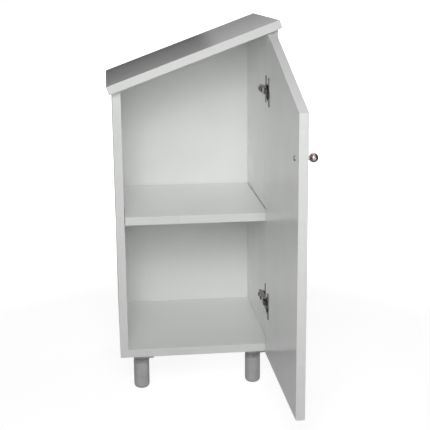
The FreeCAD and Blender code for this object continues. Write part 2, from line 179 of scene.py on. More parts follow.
def settle(shape, name, body, material):
    """Make the piece's object, put it in place of the solid of its name and fasten it to its body."""
    crease_turn = math.radians(40)
    mesh = bpy.data.meshes.new(name)
    shape.to_mesh(mesh)
    shape.free()
    mesh.shade_smooth()
    mesh.set_sharp_from_angle(angle=crease_turn)
    mesh.materials.append(material)
    piece = bpy.data.objects.new(name, mesh)
    bpy.context.scene.collection.objects.link(piece)
    even = piece.modifiers.new("even_shading", "WEIGHTED_NORMAL")
    even.keep_sharp = True
    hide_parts(name)
    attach(piece, body)


def side_panel(low, high, inner, outer, name):
    """An upright board with its groove, cut along the slope of the top."""
    into_board = groove_depth if outer > inner else -groove_depth
    outline = [(outer, low.y, low.z), (inner, low.y, low.z), (inner, groove_front, low.z),
               (inner + into_board, groove_front, low.z), (inner + into_board, groove_back, low.z),
               (inner, groove_back, low.z), (inner, high.y, low.z), (outer, high.y, low.z)]
    shape = slab(outline, (0.0, 0.0, high.z - low.z + board_thickness))
    cut = bmesh.ops.bisect_plane(shape, geom=shape.verts[:] + shape.edges[:] + shape.faces[:],
                                 plane_co=high, plane_no=(-slope_rise, 0.0, 1.0), clear_outer=True)
    bmesh.ops.contextual_create(shape, geom=only(bmesh.types.BMEdge, cut["geom_cut"]))
    bmesh.ops.recalc_face_normals(shape, faces=shape.faces)
    soften(shape, board_edge_round)
    mark_band(shape, (0, -1, 0), (0, 0, -1))
    settle(shape, name, "cabinet", board_finish)


board_finish = white_faced_board("white_faced_board")
side_panel(left_low, left_high, left_high.x, left_low.x, "left_side_panel")
side_panel(right_low, right_high, right_low.x, right_high.x, "right_side_panel")

# Bottom panel: a board let in between the two sides and held by glued dowels in its ends.
# It carries the load of the cabinet to the legs, and its own groove takes the foot of the back panel.
bottom_low, bottom_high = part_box("bottom_panel")
bottom_groove = back_low.z - groove_spare
bottom_outline = [(bottom_low.x, bottom_low.y, bottom_low.z), (bottom_low.x, bottom_high.y, bottom_low.z),
                  (bottom_low.x, bottom_high.y, bottom_high.z), (bottom_low.x, groove_back, bottom_high.z),
                  (bottom_low.x, groove_back, bottom_groove), (bottom_low.x, groove_front, bottom_groove),
                  (bottom_low.x, groove_front, bottom_high.z), (bottom_low.x, bottom_low.y, bottom_high.z)]
bottom_panel = slab(bottom_outline, (bottom_high.x - bottom_low.x, 0.0, 0.0))
soften(bottom_panel, board_edge_round)
mark_band(bottom_panel, (0, -1, 0))
settle(bottom_panel, "bottom_panel", "cabinet", board_finish)

# Back panel: a thin fibreboard sheet slid into the grooves before the top goes on.
# It is white on the face that shows inside the cabinet and left as raw brown board behind.
fibre_dark = (0.17, 0.105, 0.06, 1.0)
fibre_light = (0.33, 0.225, 0.14, 1.0)
back_edge_round = 0.0003
looks_forward = -0.5


def backing_sheet(name):
    """Thin fibreboard: a smooth white foil in front, pressed brown fibres behind."""
    material, place, shader = start_finish(name)
    clouds = place.noise(5.0, 3.0).between(0.35, 0.65)
    foil = clouds.blend(shaded_white, clean_white)
    fibres = place.stretched((1.0, 1.0, 0.4)).noise(260.0, 6.0, 0.7)
    mottle = place.noise(18.0, 3.0)
    raw_board = (0.7 * fibres + 0.3 * mottle).between(0.35, 0.65).blend(fibre_dark, fibre_light)
    raw = place.add("ShaderNodeAttribute", {"attribute_name": "raw"}, {}, 2)
    raw.blend(foil, raw_board).into(shader, "Base Color")
    (0.3 + 0.1 * clouds + 0.45 * raw).into(shader, "Roughness")
    (fibres * raw + 0.3 * place.noise(900.0, 2.0)).bump(0.12, 0.0005).into(shader, "Normal")
    return material


back_left_top = back_high.z - slope_rise * (back_high.x - back_low.x)
back_outline = [(back_low.x, back_low.y, back_low.z), (back_high.x, back_low.y, back_low.z),
                (back_high.x, back_low.y, back_high.z), (back_low.x, back_low.y, back_left_top)]
back_panel = slab(back_outline, (0.0, back_high.y - back_low.y, 0.0))
soften(back_panel, back_edge_round, 2)
raw_layer = back_panel.faces.layers.float.new("raw")
back_panel.normal_update()
for face in back_panel.faces:
    face[raw_layer] = float(face.normal.y > looks_forward)
settle(back_panel, "back_panel", "cabinet", backing_sheet("backing_sheet"))

# Dowels: turned beech pegs glued into both boards where the sides meet the bottom and the top.
# They are shut away inside the joints, so their solids stay and only get a finish.
beech_dark = (0.46, 0.29, 0.16, 1.0)
beech_light = (0.68, 0.49, 0.31, 1.0)


def turned_beech(name):
    """Pale beech with short dark flecks along the grain."""
    material, place, shader = start_finish(name)
    grain = place.stretched((1.0, 1.0, 0.15)).noise(300.0, 4.0)
    flecks = place.noise(700.0, 2.0).between(0.55, 0.7)
    (grain.between(0.3, 0.7) - 0.4 * flecks).blend(beech_dark, beech_light).into(shader, "Base Color")
    (0.6 + 0.2 * grain).into(shader, "Roughness")
    grain.bump(0.2, 0.0003).into(shader, "Normal")
    return material


def dress(material, *nodes):
    """Give solids that aren't replaced a finish of their own."""
    for node in nodes:
        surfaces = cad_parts[node].data.materials
        surfaces.clear()
        surfaces.append(material)


dress(turned_beech("turned_beech"), "bottom_dowels", "top_dowels")

# Top panel: the sloping lid, a board laid over both sides, a little proud of them at each end and out over
# the shut door in front. Its ends are sawn square to the slope and all four edges are banded.
# Dowels hold it, and a groove that stops short of its ends takes the head of the back panel.
top_low, top_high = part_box("top_panel")
top_edge_round = 0.001
slope_angle = math.atan(slope_rise)
round_loss = top_edge_round * (math.cos(slope_angle) + math.sin(slope_angle) - 1.0)
uphill = Vector((math.cos(slope_angle), 0.0, math.sin(slope_angle)))
upright = Vector((-math.sin(slope_angle), 0.0, math.cos(slope_angle)))
top_corner = Vector((top_low.x - round_loss + board_thickness * math.sin(slope_angle), top_low.y, 0.0))
top_corner.z = left_high.z + slope_rise * (top_corner.x - left_high.x)
top_length = (top_high.x + round_loss - top_corner.x) / math.cos(slope_angle)
top_back = Vector((0.0, top_high.y - top_low.y, 0.0))
top_rise = upright * board_thickness
groove_room = 1.02
top_groove = Vector((0.0, 0.0, groove_depth * groove_room / math.cos(slope_angle)))
groove_start = left_high.x - groove_depth
groove_end = right_low.x + groove_depth


def sink(shape, facing, mouths, push):
    """Cut recesses into the flat face that looks this way, from the edges round their mouths."""
    flat = max(shape.faces, key=lambda face: face.normal.dot(facing) * face.calc_area())
    rims = list(flat.edges)
    for mouth in mouths:
        rims += mouth
    bmesh.ops.delete(shape, geom=[flat], context="FACES_ONLY")
    bmesh.ops.triangle_fill(shape, edges=rims, use_beauty=True, normal=facing)
    for mouth in mouths:
        sunk = bmesh.ops.extrude_edge_only(shape, edges=mouth)["geom"]
        bmesh.ops.translate(shape, verts=only(bmesh.types.BMVert, sunk), vec=push)
        bmesh.ops.contextual_create(shape, geom=only(bmesh.types.BMEdge, sunk))
    bmesh.ops.recalc_face_normals(shape, faces=shape.faces)


top_panel = slab([top_corner, top_corner + top_back, top_corner + top_back + top_rise,
                  top_corner + top_rise], uphill * top_length)
soften(top_panel, top_edge_round)
mark_band(top_panel, (0, -1, 0), (0, 1, 0), uphill, -uphill)
groove_corners = [top_panel.verts.new((x, y, left_high.z + slope_rise * (x - left_high.x)))
                  for x, y in ((groove_start, groove_front), (groove_end, groove_front),
                               (groove_end, groove_back), (groove_start, groove_back))]
groove_mouth = [top_panel.edges.new((groove_corners[i - 1], groove_corners[i])) for i in range(4)]
sink(top_panel, -upright, [groove_mouth], top_groove)
settle(top_panel, "top_panel", "cabinet", board_finish)

# Shelf: a loose board that lies across the middle, a hair shorter than the space between the sides.
# It is white faced like the other boards, banded along the front, and rests on four pins in the sides.
shelf_low, shelf_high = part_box("shelf")
shelf_outline = [(shelf_low.x, shelf_low.y, shelf_low.z), (shelf_high.x, shelf_low.y, shelf_low.z),
                 (shelf_high.x, shelf_high.y, shelf_low.z), (shelf_low.x, shelf_high.y, shelf_low.z)]
shelf = slab(shelf_outline, (0.0, 0.0, shelf_high.z - shelf_low.z))
soften(shelf, board_edge_round)
mark_band(shelf, (0, -1, 0))
settle(shelf, "shelf", "shelf", board_finish)

# Shelf pins: nickel plated steel, each a round plug in a side panel, with a tongue over its free end.
# The shelf lies on the tongues, two at each side.
nickel_dark = (0.13, 0.122, 0.112, 1.0)
nickel_light = (0.26, 0.248, 0.235, 1.0)
pins_low, pins_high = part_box("shelf_pins")
pin_radius = 0.0025
pin_width = 0.010
pin_tongue = 0.009
plug_round = 0.0004
tongue_round = 0.0006
pin_lines = (pins_low.y + pin_width / 2, pins_high.y - pin_width / 2)
pin_middle = pins_low.z + pin_radius


def plated_steel(name, dark, light):
    """Plated steel: a little cloudy, brushed one way and duller where it was handled."""
    material, place, shader = start_finish(name)
    shader.inputs["Metallic"].default_value = 1.0
    clouds = place.noise(90.0, 3.0)
    brushing = place.stretched((60.0, 60.0, 1.0)).noise(60.0, 3.0)
    (0.6 * clouds + 0.4 * brushing).between(0.3, 0.7).blend(dark, light).into(shader, "Base Color")
    (0.26 + 0.2 * clouds + 0.1 * brushing).into(shader, "Roughness")
    brushing.bump(0.08, 0.0002).into(shader, "Normal")
    return material


def peg(start, end, radius, sides=24):
    """A round peg between two points."""
    axis = Vector(end) - Vector(start)
    shape = bmesh.new()
    bmesh.ops.create_cone(shape, cap_ends=True, segments=sides, radius1=radius, radius2=radius,
                          depth=axis.length)
    turn = axis.to_track_quat("Z", "Y").to_matrix().to_4x4()
    middle = (Vector(start) + Vector(end)) / 2
    bmesh.ops.transform(shape, matrix=Matrix.Translation(middle) @ turn, verts=shape.verts)
    return shape


def brick(low, high):
    """A plain box between two corners, to be eased and joined to others."""
    low = Vector(low)
    high = Vector(high)
    shape = bmesh.new()
    bmesh.ops.create_cube(shape, size=1.0)
    bmesh.ops.scale(shape, vec=high - low, verts=shape.verts)
    bmesh.ops.translate(shape, vec=(low + high) / 2, verts=shape.verts)
    return shape


def gather(shapes):
    """Several shapes as one."""
    whole = bmesh.new()
    for shape in shapes:
        loose = bpy.data.meshes.new("loose")
        shape.to_mesh(loose)
        shape.free()
        whole.from_mesh(loose)
        bpy.data.meshes.remove(loose)
    return whole


nickel = plated_steel("nickel_plate", nickel_dark, nickel_light)
shelf_pins = []
for line in pin_lines:
    for wall, tip, root in ((left_high.x, left_high.x + pin_tongue, pins_low.x),
                            (right_low.x, right_low.x - pin_tongue, pins_high.x)):
        plug = peg((root, line, pin_middle), (tip, line, pin_middle), pin_radius)
        near, far = sorted((wall, tip))
        tongue = brick((near, line - pin_width / 2, pin_middle), (far, line + pin_width / 2, pins_high.z))
        soften(plug, plug_round, 2)
        soften(tongue, tongue_round, 2)
        shelf_pins += [plug, tongue]
settle(gather(shelf_pins), "shelf_pins", "cabinet", nickel)

# Door: one white board hung on the tall side and bored for the two hinge cups. Its slanted upper edge is
# left
# as white as its faces instead of banded: the paler colour is painted light, standing in for light falling
# on it from above. The other edges are banded, and its high corner is cut level to pass under the top.
# It is laid out shut, and then turned to stand open at a little over a right angle.
door_low, door_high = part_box("door_panel")
door_turn = math.radians(90.5)
door_width = (door_high.y - door_low.y) / math.sin(door_turn) + board_thickness / math.tan(door_turn)
door_height = door_high.z - door_low.z
level_cut = 0.0232
recess_radius = 0.0176
recess_depth = 0.0136
recess_from_edge = 0.0225
round_sides = 64
door_outline = [(0.0, 0.0, 0.0), (door_width, 0.0, 0.0), (door_width, 0.0, door_height),
                (door_width - level_cut, 0.0, door_height),
                (0.0, 0.0, door_height - slope_rise * (door_width - level_cut))]
swing = Matrix.Rotation(door_turn, 4, "Z")
swung = [swing @ Vector((x, y, 0.0)) for x in (0.0, door_width) for y in (0.0, board_thickness)]
door_place = Matrix.Translation((door_low.x - min(point.x for point in swung),
                                 door_low.y - min(point.y for point in swung), door_low.z)) @ swing
door_panel = slab(door_outline, (0.0, board_thickness, 0.0))
soften(door_panel, board_edge_round)
# The slanted edge is left out of the band, so its paler white is painted light from above.
mark_band(door_panel, (-1, 0, 0), (1, 0, 0), (0, 0, -1))
recess_mouths = []
for level in ("lower", "upper"):
    cup_low, cup_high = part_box(level + "_hinge_cup")
    mouth_place = Matrix.Translation((door_width - recess_from_edge, board_thickness,
                                      (cup_low.z + cup_high.z) / 2 - door_low.z))
    edges_before = set(door_panel.edges)
    bmesh.ops.create_circle(door_panel, cap_ends=False, segments=round_sides, radius=recess_radius,
                            matrix=mouth_place @ Matrix.Rotation(math.radians(90), 4, "X"))
    recess_mouths.append([edge for edge in door_panel.edges if edge not in edges_before])
sink(door_panel, Vector((0.0, 1.0, 0.0)), recess_mouths, (0.0, -recess_depth, 0.0))
bmesh.ops.transform(door_panel, matrix=door_place, verts=door_panel.verts)
settle(door_panel, "door_panel", "door", board_finish)

# Knob: a ball on a short waisted neck and a round foot, turned from brass and plated dark.
# A zinc plated machine screw with a crossed recess in its head holds it through the door from inside.
bronze_dark = (0.34, 0.29, 0.275, 1.0)
bronze_light = (0.55, 0.48, 0.455, 1.0)
zinc_dark = (0.20, 0.195, 0.185, 1.0)
zinc_light = (0.42, 0.41, 0.39, 1.0)
knob_low, knob_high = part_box("door_knob")
door_outward = (door_place.to_3x3() @ Vector((0.0, -1.0, 0.0))).normalized()
knob_ball = (knob_high.z - knob_low.z) / 2
knob_centre = Vector((knob_high.x - knob_ball, knob_high.y - knob_ball, (knob_low.z + knob_high.z) / 2))
knob_reach = 0.017
knob_neck = 0.0035
knob_foot = 0.0055
screw_low, screw_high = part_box("knob_screw")
screw_head = (screw_high.z - screw_low.z) / 2
screw_place = Vector((screw_low.x, screw_high.y - screw_head, (screw_low.z + screw_high.z) / 2))
machine_crown = 0.0036
machine_head_height = 0.0026


def dark_plating(name):
    """Dark polished plating with a faint brown cast, worn a little brighter in patches."""
    material, place, shader = start_finish(name)
    shader.inputs["Metallic"].default_value = 1.0
    patches = place.noise(160.0, 4.0)
    patches.between(0.3, 0.7).blend(bronze_dark, bronze_light).into(shader, "Base Color")
    (0.07 + 0.1 * patches).into(shader, "Roughness")
    place.noise(900.0, 2.0).bump(0.02, 0.0002).into(shader, "Normal")
    return material


def turned(profile, steps=48):
    """A turned piece about Z from (radius, height) points, closed where they meet the axis."""
    same_point = 1e-6
    shape = bmesh.new()
    points = [shape.verts.new((radius, 0.0, height)) for radius, height in profile]
    edges = [shape.edges.new(pair) for pair in zip(points, points[1:])]
    bmesh.ops.spin(shape, geom=points + edges, cent=(0, 0, 0), axis=(0, 0, 1), angle=2 * math.pi,
                   steps=steps, use_merge=True)
    bmesh.ops.remove_doubles(shape, verts=shape.verts, dist=same_point)
    bmesh.ops.recalc_face_normals(shape, faces=shape.faces)
    return shape


def arc(radius, middle, first, last, count):
    """Points on a round stretch of a profile, from one angle to another in degrees."""
    across, up = middle
    angles = [math.radians(first + (last - first) * step / (count - 1)) for step in range(count)]
    return [(across + radius * math.cos(angle), up + radius * math.sin(angle)) for angle in angles]


def aim(shape, base, direction):
    """Turn a piece made about Z to look along a direction from base."""
    turn = Vector(direction).to_track_quat("Z", "Y").to_matrix().to_4x4()
    bmesh.ops.transform(shape, matrix=Matrix.Translation(base) @ turn, verts=shape.verts)


def crossed_screw(head, crown, head_height, rim, shank, length, point=0.0004):
    """A screw along -Z with its crown at nought: a crossed recess in the head, and a shank below."""
    slot_half = crown * 0.2
    slot_reach = crown * 0.72
    slot_depth = head_height * 0.7
    slot_taper = 0.7
    under_head = -head_height - 0.0001
    tip = shank * 0.1
    shape = bmesh.new()
    bmesh.ops.create_circle(shape, cap_ends=False, segments=48, radius=crown)
    crown_edges = shape.edges[:]
    cross = [(slot_reach, -slot_half), (slot_reach, slot_half), (slot_half, slot_half),
             (slot_half, slot_reach), (-slot_half, slot_reach), (-slot_half, slot_half),
             (-slot_reach, slot_half), (-slot_reach, -slot_half), (-slot_half, -slot_half),
             (-slot_half, -slot_reach), (slot_half, -slot_reach), (slot_half, -slot_half)]
    corners = [shape.verts.new((x, y, 0.0)) for x, y in cross]
    slot_edges = [shape.edges.new((corners[i], corners[i - 1])) for i in range(len(corners))]
    bmesh.ops.bridge_loops(shape, edges=crown_edges + slot_edges)
    sunk = bmesh.ops.extrude_edge_only(shape, edges=slot_edges)["geom"]
    slot_floor = only(bmesh.types.BMVert, sunk)
    bmesh.ops.scale(shape, vec=(slot_taper, slot_taper, 1.0), verts=slot_floor)
    bmesh.ops.translate(shape, vec=(0.0, 0.0, -slot_depth), verts=slot_floor)
    bmesh.ops.contextual_create(shape, geom=only(bmesh.types.BMEdge, sunk))
    outer = crown_edges
    for radius, height in ((head, rim - head_height), (head, -head_height), (shank, under_head),
                           (shank, point - length), (tip, -length)):
        grown = bmesh.ops.extrude_edge_only(shape, edges=outer)["geom"]
        outer = only(bmesh.types.BMEdge, grown)
        for vert in only(bmesh.types.BMVert, grown):
            wide = math.hypot(vert.co.x, vert.co.y)
            vert.co = (vert.co.x * radius / wide, vert.co.y * radius / wide, height)
    bmesh.ops.contextual_create(shape, geom=outer)
    bmesh.ops.recalc_face_normals(shape, faces=shape.faces)
    return shape


knob_profile = [(0.0, 0.0), (knob_foot - 0.0003, 0.0), (knob_foot, 0.0003), (knob_foot, 0.0017),
                (knob_foot - 0.0004, 0.0021), (0.0043, 0.0026), (0.0037, 0.0037), (knob_neck, 0.0052)]
neck_angle = math.degrees(math.asin(knob_neck / knob_ball))
knob_profile += arc(knob_ball, (0.0, knob_reach), neck_angle - 90, 90, 24)
knob = turned(knob_profile)
aim(knob, knob_centre - door_outward * knob_reach, door_outward)
settle(knob, "door_knob", "door", dark_plating("dark_plating"))
zinc = plated_steel("zinc_plate", zinc_dark, zinc_light)
knob_screw = crossed_screw(screw_head, machine_crown, machine_head_height, rim=0.0013, shank=0.002,
                           length=0.0296)
aim(knob_screw, screw_place, -door_outward)
settle(knob_screw, "knob_screw", "door", zinc)

# Cup hinges: each has a winged plate screwed to the side panel, a folded steel arm over the plate's rail, a
# cranked link, and a round cup let into the door with a winged flange. The arms and cups are nickel plated
# and the arms' screws are dark steel. The plates, the links and their pins are coloured nearly black as
# painted shade, for the shade they sit in between the door and the side and inside the arm's channel.
arm_dark = (0.42, 0.40, 0.38, 1.0)
arm_light = (0.60, 0.575, 0.55, 1.0)
# Painted shade: the plates' nearly black colours stand in for the shade between the door and the side.
plate_shade_dark = (0.03, 0.029, 0.028, 1.0)
plate_shade_light = (0.08, 0.077, 0.073, 1.0)
# Dark steel for the arms' screws, and painted shade for the links and their pins inside the arm's channel.
dark_steel_and_shade_dark = (0.060, 0.058, 0.055, 1.0)
dark_steel_and_shade_light = (0.130, 0.126, 0.120, 1.0)
wood_screw_head = 0.0038
screw_stand = 0.0002
hinge_wall = right_low.x
front_edge = left_low.y
plate_line = front_edge + 0.037
wing_thickness = 0.002
wing_width = 0.013
wing_corner = 0.004
wing_round = 0.0004
rail_half = 0.0054
rail_round = 0.0008
sheet_round = 0.0003
pressed_round = 0.0005
plate_screw_spread = 0.016
arm_sheet = 0.0014
arm_toe = 0.004
ear = 0.0032
ear_middle = (hinge_wall - 0.0055, front_edge + 0.001)
ear_run = 0.006
cheek_edge = hinge_wall - 0.0035
web_front = front_edge + 0.007
web_round = 0.0006
bead_start = front_edge + 0.032
bead_end = front_edge + 0.047
bead_half = 0.0022
bead_height = 0.0005
cup_radius = 0.0175
cup_wall = 0.001
cup_depth = 0.0135
cup_bore = cup_radius - cup_wall
cup_floor = cup_wall - cup_depth
cup_floor_round = 0.001
cup_base_ease = 0.0005
flange_thickness = 0.0012
flange_ring = 0.019
flange_near = 0.003
flange_far = 0.016
flange_reach = 0.030
lug_near = 0.0107
lug_far = 0.0165
lug_deep = -0.0125
lug_shallow = -0.0037
lug_sheet = 0.002
lug_bottoms = (-0.0076, 0.0056)
cup_screw_line = -0.0095
cup_screw_spread = 0.0225
bright_nickel = plated_steel("bright_nickel_plate", arm_dark, arm_light)
plate_shade_finish = plated_steel("plate_painted_shade", plate_shade_dark, plate_shade_light)
dark_steel_and_painted_shade = plated_steel("dark_steel_and_painted_shade", dark_steel_and_shade_dark, dark_steel_and_shade_light)


def rounded_outline(width, height, corner, steps=6):
    """Points round a rectangle with round corners, about nought."""
    outline = []
    for right, up, first in ((1, 1, 0), (-1, 1, 90), (-1, -1, 180), (1, -1, 270)):
        middle = (right * (width / 2 - corner), up * (height / 2 - corner))
        outline += arc(corner, middle, first, first + 90, steps)
    return outline


def wood_screw():
    """A short countersunk screw with a crossed recess."""
    return crossed_screw(wood_screw_head, crown=wood_screw_head * 0.8, head_height=0.0018, rim=0.0015,
                         shank=0.002, length=0.013, point=0.0016)


def flange_outline():
    """Points round the cup's flange: a ring with a wing above and a wing below on its far side."""
    near_turn = math.degrees(math.acos(-flange_near / flange_ring))
    far_turn = math.degrees(math.acos(-flange_far / flange_ring))
    near = -flange_near - wing_corner
    far = -flange_far + wing_corner
    high = flange_reach - wing_corner
    outline = arc(flange_ring, (0.0, 0.0), -near_turn, near_turn, 40)
    outline += arc(wing_corner, (near, high), 0, 90, 6)
    outline += arc(wing_corner, (far, high), 90, 180, 6)
    outline += arc(flange_ring, (0.0, 0.0), far_turn, 360 - far_turn, 12)
    outline += arc(wing_corner, (far, -high), 180, 270, 6)
    outline += arc(wing_corner, (near, -high), 270, 360, 6)
    return outline


for level in ("lower", "upper"):
    plate_low, plate_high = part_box(level + "_mounting_plate")
    hinge_level = (plate_low.z + plate_high.z) / 2
    wings = slab([(hinge_wall, plate_line + y, hinge_level + z)
                  for y, z in rounded_outline(wing_width, plate_high.z - plate_low.z, wing_corner)],
                 (-wing_thickness, 0.0, 0.0))
    soften(wings, wing_round, 2)
    rail = brick((plate_low.x, plate_low.y, hinge_level - rail_half),
                 (hinge_wall, plate_high.y, hinge_level + rail_half))
    soften(rail, rail_round, 2)
    # The plate is coloured nearly black as painted shade.
    settle(gather([wings, rail]), level + "_mounting_plate", "cabinet", plate_shade_finish)
    plate_screws = []
    for side in (-plate_screw_spread, plate_screw_spread):
        screw = wood_screw()
        seat = (hinge_wall - wing_thickness - screw_stand, plate_line, hinge_level + side)
        aim(screw, seat, (-1, 0, 0))
        plate_screws.append(screw)
    settle(gather(plate_screws), level + "_plate_screws", "cabinet", zinc)

    arm_low, arm_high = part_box(level + "_hinge_arm")
    arm_parts = []
    for bottom in (arm_low.z, arm_high.z - arm_sheet):
        outline = [(cheek_edge, arm_high.y - arm_toe), (cheek_edge, ear_middle[1] + ear_run),
                   *arc(ear, ear_middle, 20, -140, 12), (arm_low.x, web_front), (arm_low.x, arm_high.y),
                   (cheek_edge - arm_toe, arm_high.y)]
        cheek = slab([(x, y, bottom) for x, y in outline], (0.0, 0.0, arm_sheet))
        soften(cheek, sheet_round, 2)
        arm_parts.append(cheek)
    web = brick((arm_low.x, web_front, arm_low.z), (arm_low.x + arm_sheet, arm_high.y, arm_high.z))
    soften(web, web_round)
    bead = brick((arm_low.x - bead_height, bead_start, hinge_level - bead_half),
                 (arm_low.x + arm_sheet, bead_end, hinge_level + bead_half))
    soften(bead, pressed_round, 2)
    settle(gather(arm_parts + [web, bead]), level + "_hinge_arm", "cabinet", bright_nickel)
    for name, shank in (("_arm_screw", 0.0025), ("_adjusting_screw", 0.00225)):
        low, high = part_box(level + name)
        screw = crossed_screw((high.z - low.z) / 2, machine_crown, machine_head_height, rim=0.0016,
                              shank=shank, length=high.x - low.x)
        aim(screw, (low.x, (low.y + high.y) / 2, hinge_level), (-1, 0, 0))
        settle(screw, level + name, "cabinet", dark_steel_and_painted_shade)

    flange = bmesh.new()
    rim = [flange.verts.new((x, y, flange_thickness)) for x, y in flange_outline()]
    rim_edges = [flange.edges.new((rim[i - 1], rim[i])) for i in range(len(rim))]
    bmesh.ops.create_circle(flange, cap_ends=False, segments=round_sides, radius=cup_bore,
                            matrix=Matrix.Translation((0.0, 0.0, flange_thickness)))
    mouth_edges = [edge for edge in flange.edges if edge not in rim_edges]
    bmesh.ops.bridge_loops(flange, edges=rim_edges + mouth_edges)
    grown = bmesh.ops.extrude_face_region(flange, geom=flange.faces[:])["geom"]
    bmesh.ops.translate(flange, verts=only(bmesh.types.BMVert, grown), vec=(0.0, 0.0, -flange_thickness))
    bmesh.ops.recalc_face_normals(flange, faces=flange.faces)
    soften(flange, sheet_round, 2)
    well = turned([(0.0, cup_floor), (cup_bore - cup_floor_round, cup_floor),
                   (cup_bore, cup_floor + cup_floor_round), (cup_bore, flange_thickness),
                   (cup_radius, flange_thickness / 2), (cup_radius, -cup_depth + cup_base_ease),
                   (cup_radius - cup_base_ease, -cup_depth), (0.0, -cup_depth)], round_sides)
    lugs = []
    for bottom in lug_bottoms:
        lug = brick((lug_near, bottom, lug_deep), (lug_far, bottom + lug_sheet, lug_shallow))
        soften(lug, pressed_round, 2)
        lugs.append(lug)
    cup = gather([flange, well] + lugs)
    cup_middle = Vector((door_width - recess_from_edge, board_thickness, hinge_level - door_low.z))
    lay_flat = Matrix.Rotation(math.radians(-90), 4, "X")
    bmesh.ops.transform(cup, matrix=door_place @ Matrix.Translation(cup_middle) @ lay_flat, verts=cup.verts)
    settle(cup, level + "_hinge_cup", "door", nickel)
    cup_screws = []
    for side in (-cup_screw_spread, cup_screw_spread):
        screw = wood_screw()
        seat = cup_middle + Vector((cup_screw_line, flange_thickness + screw_stand, side))
        aim(screw, door_place @ seat, -door_outward)
        cup_screws.append(screw)
    settle(gather(cup_screws), level + "_cup_screws", "door", zinc)
    # The links and their pins get the nearly black colour as painted shade for the inside of the arm's
    # channel.
    dress(dark_steel_and_painted_shade, level + "_hinge_link", level + "_arm_pin", level + "_cup_pin")

# Legs: a ribbed socket screwed under the bottom panel, a paler grey tube pushed into it, and a foot that
# screws in and out to level the cabinet. All three are moulded plastic, satin and with a fine grain.
plastic_dark = (0.42, 0.42, 0.425, 1.0)
plastic_light = (0.52, 0.52, 0.525, 1.0)
socket_dark = (0.36, 0.36, 0.365, 1.0)
socket_light = (0.46, 0.46, 0.465, 1.0)
ring_gap = 0.0001
lip = 0.0007
lip_step = 0.0002
end_ease = 0.001
foot_round = 0.009
spindle = 0.005
bore = 0.0051
bore_length = 0.030
spigot = 0.0135
shoulder_drop = 0.0012
shoulder_step = 0.0004
socket_bore = spigot + ring_gap
socket_depth = 0.021
collar_ease = 0.0006
collar_height = 0.0035
collar_step = 0.0004
plate_thickness = 0.006
plate_corner = 0.003
plate_round = 0.0005
rib_half = 0.002
rib_round = 0.0004
rib_height = 0.020
rib_root = 0.002
leg_screw_inset = 0.006


def moulded_plastic(name, dark, light, least_roughness):
    """Satin moulded plastic: a fine spark-eroded grain and faint flow marks."""
    material, place, shader = start_finish(name)
    flow = place.stretched((1.0, 1.0, 0.3)).noise(45.0, 4.0)
    flow.between(0.3, 0.7).blend(dark, light).into(shader, "Base Color")
    grain = place.noise(2600.0, 2.0)
    (least_roughness + 0.14 * flow + 0.05 * grain).into(shader, "Roughness")
    grain.bump(0.08, 0.0002).into(shader, "Normal")
    return material


